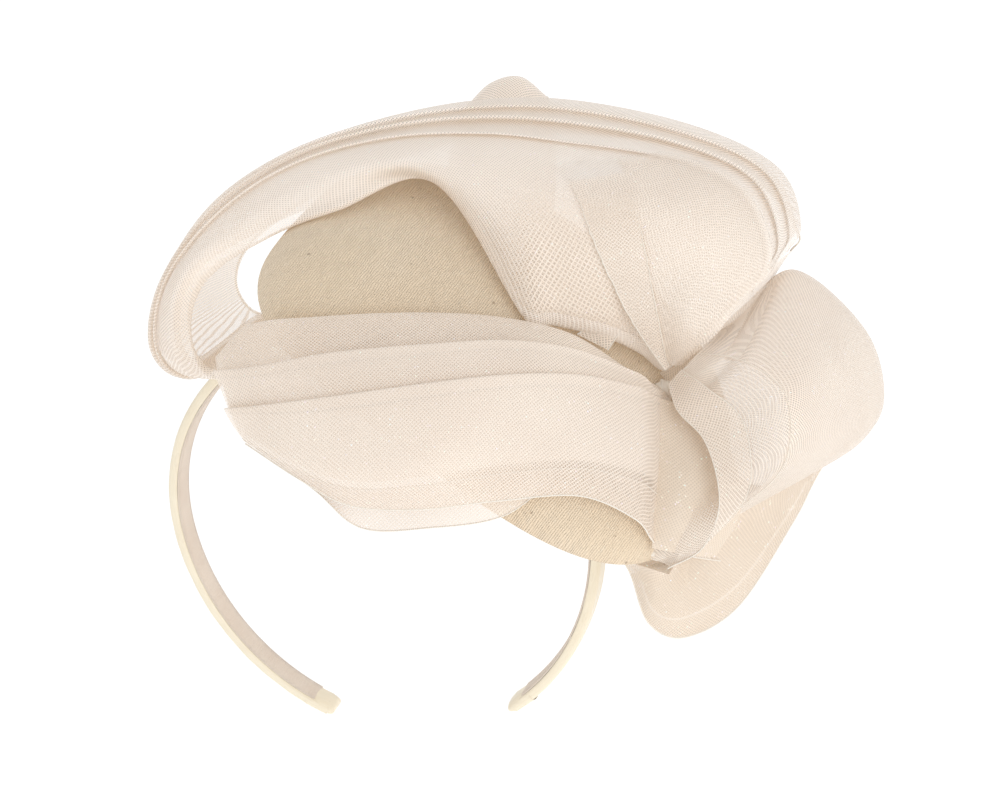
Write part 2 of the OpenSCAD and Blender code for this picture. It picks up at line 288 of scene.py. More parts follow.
OPEN_WEAVE = make_open_weave()
SPARKLE = make_sparkle()
PLAIN_WEAVE = make_plain_weave()


def new_material(name):
    material = bpy.data.materials.new(name)
    material.use_nodes = True
    tree = material.node_tree
    tree.nodes.clear()
    n = Nodes(tree)
    shader = tree.nodes.new("ShaderNodeBsdfPrincipled")
    out = tree.nodes.new("ShaderNodeOutputMaterial")
    tree.links.new(shader.outputs[0], out.inputs[0])
    return material, n, shader


def use_group(n, group, *links, **values):
    node = n.tree.nodes.new("ShaderNodeGroup")
    node.node_tree = group
    for index, source in enumerate(links):
        n.tree.links.new(source, node.inputs[index])
    for name, value in values.items():
        node.inputs[name.replace("_", " ").title()].default_value = value
    return node


def crin_material(name, tone, deep, pitch=0.70, share=0.46, hole=0.52, wander=0.10, solidity=0.85):
    """Open weave ribbon: glossy ivory filaments, with the gaps between them partly clear.
    The mesh's "open" value thins it: at 1 its filaments lie apart, and from 1 to 2 it fades out."""
    material, n, shader = new_material(name)
    place = n.add("ShaderNodeUVMap", uv_map="weave").outputs[0]
    solid = n.add("ShaderNodeTexCoord").outputs["Object"]
    opened = n.add("ShaderNodeAttribute", attribute_name="open").outputs["Fac"]
    patch = n.noise(solid, 70.0, 2.0).outputs["Fac"]
    thinner = n.math("MULTIPLY", n.math("MINIMUM", opened, 1.0), -0.16)
    filament = n.math("ADD", thinner, n.math("MULTIPLY_ADD", patch, 0.16, share - 0.08))
    weave = use_group(n, OPEN_WEAVE, place, pitch=pitch * MM * math.sqrt(2), wander=wander)
    n.tree.links.new(filament, weave.inputs[2])
    glint = use_group(n, SPARKLE, place, grain=1500.0, amount=0.10)
    cloud = n.noise(solid, 45.0, 3.0).outputs["Fac"]
    colour = n.mix(n.remap(cloud, 0.3, 0.7, 0.0, 1.0), tone, deep)
    # Painted shade: the colour darkens towards the deep tone where the filaments sink into the weave's
    # hollows.
    colour = n.mix(n.remap(weave.outputs[1], 0.2, 1.0, 0.3, 0.0), colour, tuple(0.92 * c for c in deep))
    # Painted glints: the sparkle specks are lightened towards their tint.
    colour = n.mix(n.math("MULTIPLY", glint.outputs[0], 0.8), colour, glint.outputs[1])
    link = n.tree.links.new
    link(colour, shader.inputs["Base Color"])
    link(n.remap(glint.outputs[0], 0.0, 1.0, 0.45, 0.2), shader.inputs["Roughness"])
    gap = n.math("MULTIPLY_ADD", n.math("MINIMUM", opened, 1.0), -0.8 * hole, hole)
    cover = n.remap(weave.outputs[0], 0.0, 1.0, gap, solidity)
    link(n.math("MULTIPLY", cover, n.remap(opened, 1.0, 2.0, 1.0, 0.0, False)), shader.inputs["Alpha"])
    # Painted light: the whole cloth glows faintly warm, standing in for light passing through it, and glows
    # near white at the glints as painted highlights.
    link(n.mix(glint.outputs[0], (0.30, 0.235, 0.17), (1.0, 0.95, 0.9)), shader.inputs["Emission Color"])
    shader.inputs["Emission Strength"].default_value = 0.22
    height = n.math("ADD", weave.outputs[1], n.math("MULTIPLY", glint.outputs[0], 0.6))
    link(n.bump(height, 0.45, 0.0002), shader.inputs["Normal"])
    shader.inputs["Specular IOR Level"].default_value = 0.45
    shader.inputs["Sheen Weight"].default_value = 0.2
    shader.inputs["Sheen Roughness"].default_value = 0.4
    shader.inputs["Sheen Tint"].default_value = (1.0, 0.97, 0.92, 1.0)
    return material


def felt_material():
    material, n, shader = new_material("cream_felt")
    place = n.add("ShaderNodeUVMap", uv_map="weave").outputs[0]
    solid = n.add("ShaderNodeTexCoord").outputs["Object"]
    cloth = use_group(n, PLAIN_WEAVE, place, pitch=0.62 * MM, slub=0.8)
    fuzz = n.noise(solid, 2600.0, 4.0, 0.7).outputs["Fac"]
    cloud = n.noise(solid, 38.0, 3.0).outputs["Fac"]
    colour = n.mix(n.remap(cloud, 0.35, 0.65, 0.0, 1.0), (0.97, 0.81, 0.615), (0.94, 0.765, 0.56))
    colour = n.mix(n.remap(cloth.outputs[0], 0.1, 0.9, 0.45, 0.0), colour, (0.84, 0.66, 0.46))
    colour = n.mix(n.remap(cloth.outputs[1], 0.55, 0.75, 0.0, 0.35), colour, (0.90, 0.81, 0.67))
    specks = n.add("ShaderNodeTexVoronoi", solid)
    specks.inputs["Scale"].default_value = 320.0
    chance = n.add("ShaderNodeSeparateColor", specks.outputs["Color"]).outputs[0]
    speck = n.math("MULTIPLY", n.math("GREATER_THAN", chance, 0.955),
                   n.remap(specks.outputs["Distance"], 0.08, 0.20, 1.0, 0.0))
    colour = n.mix(n.math("MULTIPLY", speck, 0.6), colour, (0.36, 0.24, 0.15))
    link = n.tree.links.new
    link(colour, shader.inputs["Base Color"])
    link(n.remap(fuzz, 0.3, 0.7, 0.82, 0.95), shader.inputs["Roughness"])
    height = n.math("ADD", cloth.outputs[0], n.math("MULTIPLY", fuzz, 1.1))
    link(n.bump(height, 0.9, 0.00035), shader.inputs["Normal"])
    shader.inputs["Sheen Weight"].default_value = 0.3
    shader.inputs["Sheen Roughness"].default_value = 0.6
    shader.inputs["Sheen Tint"].default_value = (1.0, 0.93, 0.84, 1.0)
    shader.inputs["Specular IOR Level"].default_value = 0.2
    return material


def satin_material():
    material, n, shader = new_material("ivory_satin")
    place = n.add("ShaderNodeUVMap", uv_map="weave").outputs[0]
    stretched = n.add("ShaderNodeMapping", place, vector_type="POINT")
    stretched.inputs["Scale"].default_value = (260.0, 5200.0, 1.0)
    thread = n.noise(stretched.outputs[0], 1.0, 2.0).outputs["Fac"]
    soft = n.add("ShaderNodeMapping", place, vector_type="POINT")
    soft.inputs["Scale"].default_value = (90.0, 260.0, 1.0)
    crease = n.noise(soft.outputs[0], 1.0, 2.0).outputs["Fac"]
    colour = n.mix(n.remap(thread, 0.3, 0.7, 0.0, 1.0), (0.92, 0.835, 0.67), (0.87, 0.775, 0.60))
    colour = n.mix(n.remap(crease, 0.35, 0.7, 0.0, 0.5), colour, (0.93, 0.85, 0.68))
    link = n.tree.links.new
    link(colour, shader.inputs["Base Color"])
    link(n.remap(crease, 0.3, 0.7, 0.26, 0.40), shader.inputs["Roughness"])
    height = n.math("ADD", n.math("MULTIPLY", thread, 0.3), crease)
    link(n.bump(height, 0.35, 0.0003), shader.inputs["Normal"])
    shader.inputs["Anisotropic"].default_value = 0.5
    shader.inputs["Sheen Weight"].default_value = 0.2
    return material


def ribbed_material():
    material, n, shader = new_material("ribbed_ribbon")
    place = n.add("ShaderNodeUVMap", uv_map="weave").outputs[0]
    cloth = use_group(n, PLAIN_WEAVE, place, pitch=0.25 * MM, slub=0.15)
    solid = n.add("ShaderNodeTexCoord").outputs["Object"]
    cloud = n.noise(solid, 60.0, 2.0).outputs["Fac"]
    colour = n.mix(n.remap(cloud, 0.35, 0.65, 0.0, 1.0), (0.86, 0.765, 0.665), (0.81, 0.705, 0.605))
    colour = n.mix(n.remap(cloth.outputs[0], 0.1, 0.9, 0.4, 0.0), colour, (0.66, 0.50, 0.40))
    link = n.tree.links.new
    link(colour, shader.inputs["Base Color"])
    shader.inputs["Roughness"].default_value = 0.7
    link(n.bump(cloth.outputs[0], 0.5, 0.00012), shader.inputs["Normal"])
    shader.inputs["Sheen Weight"].default_value = 0.2
    return material


def cloth_material(name, light, dark, pitch):
    material, n, shader = new_material(name)
    solid = n.add("ShaderNodeTexCoord").outputs["Object"]
    cloth = use_group(n, PLAIN_WEAVE, solid, pitch=pitch * MM, slub=0.3)
    colour = n.mix(n.remap(cloth.outputs[0], 0.1, 0.9, 0.5, 0.0), light, dark)
    link = n.tree.links.new
    link(colour, shader.inputs["Base Color"])
    link(n.remap(cloth.outputs[1], 0.3, 0.7, 0.65, 0.85), shader.inputs["Roughness"])
    link(n.bump(cloth.outputs[0], 0.5, 0.00015), shader.inputs["Normal"])
    shader.inputs["Sheen Weight"].default_value = 0.2
    return material


CRIN = crin_material("crin_fine", (0.91, 0.825, 0.735), (0.875, 0.78, 0.69))
# A denser copy of the crin, its darker tone painted shade for loops lying in shadow.
CRIN_DENSE_PAINTED_SHADE = crin_material("crin_dense_painted_shade", (0.80, 0.69, 0.575), (0.76, 0.645, 0.525), hole=0.80, solidity=0.95)
CRIN_PALE = crin_material("crin_pale", (0.97, 0.90, 0.83), (0.94, 0.865, 0.79), hole=0.56)
CRIN_OPEN = crin_material("crin_coarse", (0.94, 0.85, 0.76), (0.91, 0.81, 0.71), 1.10, 0.40, 0.45)
FELT = felt_material()
SATIN = satin_material()
RIBBED = ribbed_material()
LINING = cloth_material("base_lining_cloth", (0.86, 0.77, 0.63), (0.74, 0.63, 0.47), 0.5)
THREAD = cloth_material("sewing_thread", (0.90, 0.84, 0.72), (0.74, 0.66, 0.52), 0.3)
EDGE = cloth_material("ribbon_edge", (0.92, 0.86, 0.77), (0.84, 0.76, 0.66), 0.5)
STRIP = cloth_material("spring_strip", (0.85, 0.84, 0.80), (0.82, 0.81, 0.77), 2.0)
WIRE = cloth_material("cotton_wrapped_wire", (0.86, 0.84, 0.79), (0.68, 0.66, 0.60), 0.4)

# ---------------------------------------------------------------- mesh building


def weights(count, values):
    """Catmull-Rom weights of count points at each value from 0 to count - 1, with straight run-outs."""
    table = np.zeros((len(values), count + 2))
    for row, value in enumerate(values):
        k = min(int(max(value, 0.0)), count - 2)
        t = value - k
        basis = 0.5 * np.array([
            -t + 2 * t * t - t ** 3, 2 - 5 * t * t + 3 * t ** 3, t + 4 * t * t - 3 * t ** 3, t ** 3 - t * t])
        table[row, k:k + 4] += basis
    inner = table[:, 1:-1].copy()
    inner[:, 0] += 2 * table[:, 0]
    inner[:, 1] -= table[:, 0]
    inner[:, -1] += 2 * table[:, -1]
    inner[:, -2] -= table[:, -1]
    return inner


class Surface:
    """Smooth ribbon surface through a grid of points: s counts stations, t points across."""

    def __init__(self, stations, out=1):
        self.points = from_bow(stations)
        self.rows, self.cols = self.points.shape[:2]
        self.out = out
        self.sink = None

    def at(self, s, t):
        grid = np.einsum("ai,ijk,bj->abk", weights(self.rows, s), self.points, weights(self.cols, t))
        if self.sink is not None:
            grid = grid + self.sink(s)[:, None, None] * OUT
        return grid

    def normal(self, s, t, step=0.02):
        s, t = np.asarray(s, float), np.asarray(t, float)
        s0, s1 = np.clip(s - step, 0, self.rows - 1), np.clip(s + step, 0, self.rows - 1)
        t0, t1 = np.clip(t - step, 0, self.cols - 1), np.clip(t + step, 0, self.cols - 1)
        along = self.at(s1, t) - self.at(s0, t)
        across = self.at(s, t1) - self.at(s, t0)
        n = np.cross(along, across)
        n /= np.maximum(np.linalg.norm(n, axis=2, keepdims=True), 1e-9)
        return n * self.out

    def lifted(self, s, t, height):
        """Points at (s, t), raised by height (one value for each t, or a full grid)."""
        height = np.asarray(height, float)
        if height.ndim == 1:
            height = height[None, :]
        return self.at(s, t) + self.normal(s, t) * height[..., None]


def weave_map(points, turn=0.0, shift=0.0):
    """Lengths along and across the cloth, in metres, as the map its weave follows."""
    n, m = points.shape[:2]
    along = np.zeros((n, m))
    across = np.zeros((n, m))
    along[1:] = np.cumsum(np.linalg.norm(np.diff(points, axis=0), axis=2), axis=0)
    across[:, 1:] = np.cumsum(np.linalg.norm(np.diff(points, axis=1), axis=2), axis=1)
    along -= along[n // 2:n // 2 + 1]
    across -= across[:, m // 2:m // 2 + 1]
    a = math.radians(turn)
    u = (along * math.cos(a) - across * math.sin(a) + shift) * MM
    v = (along * math.sin(a) + across * math.cos(a) + shift * 0.6) * MM
    return np.stack([u, v], -1)


class Build:
    """Collects grids of points into one mesh."""

    def __init__(self, name):
        self.name = name
        self.verts, self.faces, self.uvs, self.slots, self.opened = [], [], [], [], []
        self.materials = []

    def grid(self, points, material, uv=None, loop_cols=False, flip=False, opened=0.0):
        n, m = points.shape[:2]
        first = len(self.verts)
        self.verts += [tuple(p) for p in (points.reshape(-1, 3) * MM)]
        uv = weave_map(points) if uv is None else uv
        self.opened += list(np.broadcast_to(np.asarray(opened, float), (n, m)).ravel())
        if material not in self.materials:
            self.materials.append(material)
        slot = self.materials.index(material)
        for i in range(n - 1):
            for j in range(m if loop_cols else m - 1):
                i2, j2 = i + 1, (j + 1) % m
                cells = [(i, j), (i2, j), (i2, j2), (i, j2)]
                if flip:
                    cells.reverse()
                self.faces.append([first + a * m + b for a, b in cells])
                self.uvs += [tuple(uv[a, b]) for a, b in cells]
                self.slots.append(slot)

    def make(self, smooth=True):
        mesh = bpy.data.meshes.new(self.name)
        mesh.from_pydata(self.verts, [], self.faces)
        layer = mesh.uv_layers.new(name="weave")
        layer.data.foreach_set("uv", np.array(self.uvs, float).ravel())
        mesh.attributes.new("open", "FLOAT", "POINT").data.foreach_set("value", self.opened)
        for material in self.materials:
            mesh.materials.append(material)
        mesh.polygons.foreach_set("material_index", self.slots)
        mesh.polygons.foreach_set("use_smooth", [smooth] * len(self.faces))
        mesh.update()
        piece = bpy.data.objects.new(self.name, mesh)
        bpy.context.scene.collection.objects.link(piece)
        return piece


def tube(route, radius, sides=6):
    """Grid of points round a route; radius is one number or one for each point."""
    route = np.asarray(route, float)
    ahead = np.gradient(route, axis=0)
    ahead /= np.maximum(np.linalg.norm(ahead, axis=1, keepdims=True), 1e-9)
    side = np.zeros_like(route)
    last = np.cross(ahead[0], [0.3, 0.5, 0.8])
    for i, direction in enumerate(ahead):
        last = last - direction * np.dot(last, direction)
        last /= max(np.linalg.norm(last), 1e-9)
        side[i] = last
    other = np.cross(ahead, side)
    angles = np.linspace(0, 2 * math.pi, sides, endpoint=False)
    ring = side[:, None, :] * np.cos(angles)[None, :, None]
    ring = ring + other[:, None, :] * np.sin(angles)[None, :, None]
    return route[:, None, :] + ring * np.reshape(radius, (-1, 1, 1))


def steps(low, high, count):
    return np.linspace(low, high, count)


def tucked(low, high, count, tucks):
    """(t, height) across a ribbon with folds laid over each other like tiles. Each tuck is
    (at, lap, lift, way): way -1 stands a fold's edge at `at`, facing low t, over the cloth before it, which
    runs on under it by lap; way 1 is the mirror image, facing high t."""
    ts, hs = [], []
    marks = sorted(tucks)
    here, lift_here = low, 0.0
    for k, (at, lap, lift, way) in enumerate(marks + [(high, 0.0, 0.0, 0)]):
        rise = lift if way > 0 else 0.0
        run = steps(0.0, 1.0, max(5, int(count * (at - here) / (high - low))))
        t = here + (at - here) * run
        h = lift_here * (1 - run) ** 1.5 + rise * run ** 1.5
        ts += list(t)
        hs += list(h)
        if way < 0:
            ts += [at + lap * share for share in (0.6, 1.0, 0.7, 0.25, -0.04, 0.06)]
            hs += [0.0, 0.08 * lift, 0.2 * lift, 0.42 * lift, 0.75 * lift, lift]
            here, lift_here = at + lap * 0.16, lift * 1.04
        elif way > 0:
            ts += [at + lap * 0.10, at, at - lap * 0.25, at - lap * 0.7, at - lap, at - lap * 0.6]
            hs += [0.75 * lift, 0.42 * lift, 0.3 * lift, 0.15 * lift, 0.05 * lift, 0.0]
            here, lift_here = at, 0.0
    return np.array(ts), np.array(hs)


# ---------------------------------------------------------------- band


def arc(centre, radius, low, high, pitch=1.0):
    """Points [x, z] and outward directions along an arc; angles from straight up towards +X."""
    count = max(4, int(radius * math.radians(high - low) / pitch))
    angles = np.radians(steps(low, high, count))
    out = np.stack([np.sin(angles), np.cos(angles)], -1)
    return np.array(centre) + radius * out, out


def band_route(pitch=1.0):
    """Middle line of the right half of the band, crown to tip, with outward directions."""
    crown_centre = np.array([0.0, half_thick - crown_radius])
    a = math.radians(temple_start)
    temple_centre = crown_centre + (crown_radius - temple_radius) * np.array([math.sin(a), math.cos(a)])
    arm_centre = np.array([temple_centre[0] + temple_radius - arm_radius, temple_centre[1]])
    parts = [arc(crown_centre, crown_radius, 0, temple_start, pitch),
             arc(temple_centre, temple_radius, temple_start, 90, pitch),
             arc(arm_centre, arm_radius, 90, 90 + arm_turn, pitch)]
    line = np.concatenate([parts[0][0], parts[1][0][1:], parts[2][0][1:]])
    out = np.concatenate([parts[0][1], parts[1][1][1:], parts[2][1][1:]])
    return line, out


def sweep(line, out, profile, side):
    """Carries a profile of (outward, across) pairs along the band; side -1 is the left half."""
    grid = np.zeros((len(line), len(profile), 3))
    for j, (away, wide) in enumerate(profile):
        grid[:, j, 0] = side * (line[:, 0] + out[:, 0] * away)
        grid[:, j, 2] = line[:, 1] + out[:, 1] * away
        grid[:, j, 1] = wide
    return grid


def follow_arm(piece):
    """Bakes the piece's placement into its mesh."""
    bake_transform(piece)


def make_band(side):
    name = "right" if side > 0 else "left"
    line, out = band_route(0.8)
    walked = np.concatenate([[0], np.cumsum(np.linalg.norm(np.diff(line, axis=0), axis=1))])
    # Outer cover: slightly uneven where the satin is drawn round the strip.
    half, corner = band_width / 2, 1.2
    lower = -half_thick + 0.5
    under = [(lower + 0.1, half - 0.85), (lower, half - 0.5), (lower + 0.25, half - 0.12),
             (lower + 0.7, half)]
    top = [(half_thick - corner + corner * math.sin(a), half - corner + corner * math.cos(a))
           for a in np.radians(steps(0, 90, 7))]
    middle = [(half_thick + 0.08, half * 0.4), (half_thick + 0.12, 0.0), (half_thick + 0.08, -half * 0.4)]
    below = [(x, -y) for x, y in reversed(top)]
    closing = [(x, -y) for x, y in reversed(under)]
    profile = under + top + middle + below + closing
    grid = sweep(line, out, profile, side)
    wave = 0.07 * np.sin(walked / 3.1) + 0.05 * np.sin(walked / 1.3 + 1.0)
    grid[:, :, 1] += (np.sign(grid[:, :, 1]) * wave[:, None]) * (np.abs(grid[:, :, 1]) > 2.5)
    cover = Build(f"{name}_satin_cover")
    cover.grid(grid, SATIN, flip=side > 0)
    # Tip: the satin is folded up over the end.
    end, ahead = line[-1], line[-1] - line[-2]
    ahead = ahead / np.linalg.norm(ahead)
    rings = []
    for k, a in enumerate(np.radians(steps(0, 90, 7))):
        reach, shrink = 1.9 * math.sin(a), math.cos(a)
        at = end + ahead * reach
        size = 0.25 + 0.75 * shrink
        loop = [(x * size, y * (0.82 + 0.18 * shrink) if k < 6 else y * 0.8) for x, y in
                [(half_thick * 1.02 * math.cos(b), half * math.copysign(abs(math.sin(b)) ** 0.6, math.sin(b)))
                 for b in np.linspace(0, 2 * math.pi, 24, endpoint=False)]]
        ring = [(side * (at[0] + out[-1][0] * x), y, at[1] + out[-1][1] * x) for x, y in loop]
        rings.append(ring)
    rings = np.array(rings)
    fold = Build(f"{name}_folded_tip")
    collar = np.array([[(side * (end[0] - ahead[0] * back + out[-1][0] * x), y,
                         end[1] - ahead[1] * back + out[-1][1] * x)
                        for x, y in [((half_thick + 0.28) * math.cos(b),
                                      (half + 0.18) * math.copysign(abs(math.sin(b)) ** 0.55, math.sin(b)))
                                     for b in np.linspace(0, 2 * math.pi, 24, endpoint=False)]]
                       for back in (7.0, 5.0, 3.0, 1.0)])
    centre = np.array([[(side * (end[0] + ahead[0] * 1.9), 0.0, end[1] + ahead[1] * 1.9)] * 24])
    fold.grid(np.concatenate([collar, rings, centre]), SATIN, loop_cols=True, flip=side < 0)
    # Ribbed lining on the inside, ribs across the band.
    lining = Build(f"{name}_ribbed_lining")
    fine_line, fine_out = band_route(0.2)
    along = np.concatenate([[0], np.cumsum(np.linalg.norm(np.diff(fine_line, axis=0), axis=1))])
    width = (band_width - 1.0) / 2
    rib = 0.11 * np.abs(np.sin(along / 0.8 * math.pi))
    stop = np.searchsorted(along, along[-1] - 5.0)
    face = -half_thick - 0.03
    half_profile = [(-half_thick + 0.45, width), (-half_thick + 0.02, width - 0.05), (face, width * 0.5)]
    inner = half_profile + [(face, 0)] + [(x, -y) for x, y in reversed(half_profile)]
    strip = sweep(fine_line[:stop], fine_out[:stop], inner, side)
    inward = -fine_out[:stop] * rib[:stop, None]
    strip[:, 1:-1, 0] += side * inward[:, 0:1]
    strip[:, 1:-1, 2] += inward[:, 1:2]
    lining.grid(strip, RIBBED, flip=side > 0)
    return cover.make(), fold.make(), lining.make()


for side, name in ((-1, "left"), (1, "right")):
    cover, fold, lining = make_band(side)
    follow_arm(cover)
    follow_arm(lining)
    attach(fold, f"{name}_arm")
    if side < 0:
        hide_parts("left_arm_cover", "crown_cover")
        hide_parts("left_arm_lining", "crown_lining")
    else:
        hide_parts("right_arm_cover")
        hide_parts("right_arm_lining")
    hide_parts(f"{name}_tip_fold")

# ---------------------------------------------------------------- base

FRONT_FULL, LEFT_FRONT_FULL, BACK_FULL, DOME_POWER, LEFT_SHARE = 3.2, 3.7, 2.3, 2.4, 0.942


def base_matrix():
    reach = crown_radius + half_thick
    a = math.radians(base_angle)
    seat = (reach * math.sin(a), 0.0, half_thick - crown_radius + reach * math.cos(a))
    turned = Matrix.Rotation(a, 4, "Y") @ Matrix.Rotation(math.radians(base_lean), 4, "X")
    return Matrix.Translation(seat) @ turned @ Matrix.Translation((base_along, base_back, base_rise))


BASE = np.array(base_matrix())


def on_base(points):
    points = np.asarray(points, float)
    return points @ BASE[:3, :3].T + BASE[:3, 3]


def oval(angle, length, width):
    c, s = math.cos(angle), math.sin(angle)
    power = (LEFT_FRONT_FULL if c < 0 else FRONT_FULL) if s < 0 else BACK_FULL
    k = (abs(c) ** power + abs(s) ** power) ** (-1 / power)
    return length * (LEFT_SHARE if c < 0 else 1.0) * k * c, width * k * s


def make_base():
    around = np.linspace(0, 2 * math.pi, 160, endpoint=False)
    rings = []
    for q in steps(0.02, 1.0, 44):
        r = math.sin(q * math.pi / 2)
        h = base_height * math.sqrt(max(0.0, 1 - r ** DOME_POWER))
        rings.append([(*oval(a, base_half_length * r, base_half_width * r), h) for a in around])
    # The covered edge rolls under the rim.
    for grow, drop in ((0.15, -0.5), (0.0, -1.0), (-0.6, -1.35), (-1.6, -1.4), (-2.6, -1.1), (-3.2, -0.7)):
        rings.append([(*oval(a, base_half_length + grow, base_half_width + grow), drop) for a in around])
    rings = np.array(rings)
    flat = rings[:, :, :2] * MM
    felt = Build("felt_base")
    felt.grid(on_base(rings), FELT, uv=flat, loop_cols=True)
    tip = on_base([[(0, 0, base_height)] * 160, rings[0]])
    felt.grid(tip, FELT, uv=np.stack([flat[0] * 0, flat[0]]), loop_cols=True)
    return felt.make()


felt_base = make_base()
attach(felt_base, "crown")
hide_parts("base_shell")

for node, material in (("base_lining", LINING), ("base_tie_stitches", THREAD), ("base_rim_wire", WIRE),
                       ("crown_core", STRIP), ("left_arm_core", STRIP), ("right_arm_core", STRIP)):
    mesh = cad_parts[node].data
    mesh.materials.clear()
    mesh.materials.append(material)

# ---------------------------------------------------------------- bow

brim_stations = [
    [[43, 7, 22], [58, 20, 30], [75, 36, 20], [78, 40, 10]],
    [[41, 8, 23], [60, 31, 34], [80, 46, 16], [81, 45, 4]],
    [[36, 12, 25], [51, 45, 38], [74, 63, 8], [74, 58, -6]],
    [[27, 16, 29], [36, 51, 38], [51, 75, 4], [53, 70, -12]],
    [[15, 19, 33], [15, 54, 34], [20, 82, 0], [21, 75, -16]],
    [[5, 22, 35], [-1, 58, 30], [-8, 82, -2], [-8, 74, -20]],
    [[-17, 57, 18], [-26, 63, 24], [-34, 77, -1], [-34, 67, -24]],
    [[-43, 50, 25], [-51, 58, 21], [-59, 67, 2], [-55, 57, -24]],
    [[-63, 42, 18], [-71, 47, 16], [-80, 52, 0], [-71, 45, -27]],
    [[-79, 31, 10], [-86, 32, 13], [-93, 31, -4], [-76, 35, -32]],
    [[-83, 17, 8], [-89, 14, 8], [-95, 15, -8], [-73, 27, -35]],
    [[-78, 6, 6], [-82, 6, 0], [-84, 9, -10], [-66, 24, -36]],
    [[-62, 8, 9], [-64, 14, -1], [-64, 23, -13], [-57, 27, -32]],
    [[-41, 22, 8], [-41, 24, 2], [-41, 27, -5], [-40, 29, -14]]]

facing_stations = [
    [[43, 8, 26], [33, 22, 35], [25, 37, 41], [18, 57, 38]],
    [[44, 9, 26], [41, 23, 39], [38, 40, 44], [35, 60, 36]],
    [[45, 9, 27], [48, 23, 42], [52, 40, 44], [56, 61, 30]],
    [[46, 9, 27], [54, 20, 39], [63, 34, 39], [71, 53, 23]],
    [[47, 9, 27], [59, 19, 35], [68, 27, 32], [76, 36, 22]]]

tab_stations = [
    [[20, 17, 30], [24, 15, 29], [28, 13, 28]],
    [[23, 19, 30], [27, 18, 29], [30, 16, 28]],
    [[27, 21, 31], [30, 21, 30], [33, 21, 29]]]

front_stations = [
    [[-65, -10, 43], [-68, -5, 40], [-71, 6, 40], [-72, 11, 43], [-71, 7, 47], [-68, -2, 50], [-65, -8, 50],
     [-64, -11, 47]],
    [[-47, -22, 50], [-55, -10, 40], [-61, 8, 40], [-63, 19, 45], [-59, 8, 54], [-55, -1, 58], [-51, -14, 60],
     [-49, -20, 56]],
    [[-35, -32, 48], [-39, -13, 48], [-41, 8, 47], [-45, 21, 47], [-41, 11, 56], [-38, 1, 62], [-36, -17, 64],
     [-37, -26, 58]],
    [[-18, -32, 50], [-18, -12, 50], [-19, 8, 48], [-21, 22, 46], [-17, 13, 55], [-16, 4, 61], [-18, -15, 65],
     [-20, -27, 58]],
    [[1, -29, 48], [2, -12, 50], [1, 8, 46], [0, 21, 41], [1, 14, 49], [2, 6, 55], [1, -12, 58],
     [0, -25, 54]],
    [[17, -18, 47], [18, -8, 46], [18, 8, 40], [18, 17, 37], [18, 12, 43], [19, 6, 48], [20, -11, 51],
     [20, -24, 50]],
    [[30, -20, 43], [31, -10, 40], [33, 3, 32], [33, 8, 30], [34, 6, 34], [34, 3, 38], [35, -13, 44],
     [34, -30, 44]],
    [[37, -33, 37], [37, -18, 35], [39, 0, 28], [40, 4, 26], [41, 3, 28], [41, 1, 30], [41, -15, 36],
     [39, -36, 38]]]

mouth_stations = [
    [[38, 2, 28], [43, 0, 28], [48, -1, 25], [52, -2, 20]],
    [[38, -8, 33], [44, -9, 33], [51, -9, 32], [58, -9, 26]],
    [[39, -19, 36], [46, -20, 38], [54, -20, 37], [62, -20, 30]],
    [[39, -29, 37], [46, -30, 39], [54, -30, 37], [62, -30, 30]],
    [[39, -38, 36], [44, -39, 36], [50, -40, 34], [56, -41, 28]]]

right_stations = [
    [[44, 4, 28], [52, 13, 30], [62, 23, 20], [63, 22, 12], [53, 11, 16], [46, 3, 22]],
    [[46, -3, 34], [63, 12, 38], [78, 34, 10], [79, 30, -2], [63, 8, 9], [47, -4, 25]],
    [[52, -10, 39], [74, 4, 40], [98, 19, 0], [98, 15, -14], [69, -5, 8], [48, -12, 30]],
    [[55, -20, 43], [76, -8, 40], [104, 1, -4], [103, -1, -18], [70, -15, 8], [48, -21, 34]],
    [[55, -29, 43], [73, -18, 36], [99, -11, -2], [97, -11, -16], [68, -23, 8], [47, -28, 35]],
    [[51, -38, 39], [63, -27, 32], [85, -20, 2], [83, -19, -8], [63, -30, 12], [46, -35, 34]],
    [[43, -43, 35], [50, -38, 28], [61, -32, 10], [60, -31, 3], [53, -35, 16], [44, -40, 30]]]

lower_stations = [
    [[43, -43, 25], [38, -45, 19], [35, -47, 14]],
    [[48, -41, 19], [42, -51, 17], [40, -60, 10]],
    [[55, -38, 13], [50, -51, 13], [50, -64, 6]],
    [[64, -32, 8], [64, -43, 6], [65, -56, 1]],
    [[73, -26, 4], [76, -31, 1], [80, -34, -3]],
    [[81, -21, 0], [83, -22, -2], [86, -23, -5]]]

corner_stations = [
    [[55, -22, 43], [47, -26, 37], [38, -29, 33]],
    [[55, -31, 43], [47, -33, 38], [38, -34, 32]],
    [[51, -38, 39], [45, -39, 36], [38, -38, 30]],
    [[44, -43, 35], [42, -42, 32], [38, -41, 28]]]

lower_end_stations = [
    [[36, -37, 12], [42, -37, 15], [50, -37, 18]],
    [[36, -43, 13], [42, -43, 16], [50, -43, 18]],
    [[37, -48, 12], [42, -49, 14], [50, -49, 14]]]

back_stations = [
    [[-15, 58, -31], [-14, 72, -35], [-11, 85, -46], [-13, 75, -53], [-13, 60, -40]],
    [[-5, 56, -32], [-5, 75, -34], [-3, 93, -46], [-4, 80, -57], [-4, 59, -42]],
    [[6, 52, -33], [5, 76, -36], [6, 95, -46], [6, 80, -58], [6, 55, -43]],
    [[15, 47, -33], [16, 70, -38], [14, 89, -46], [15, 74, -55], [15, 50, -41]]]


def layer(build, surface, s, t, height, material, turn=0.0, shift=0.0, opened=0.0):
    points = surface.lifted(s, t, height)
    build.grid(points, material, uv=weave_map(points, turn, shift), flip=surface.out < 0, opened=opened)


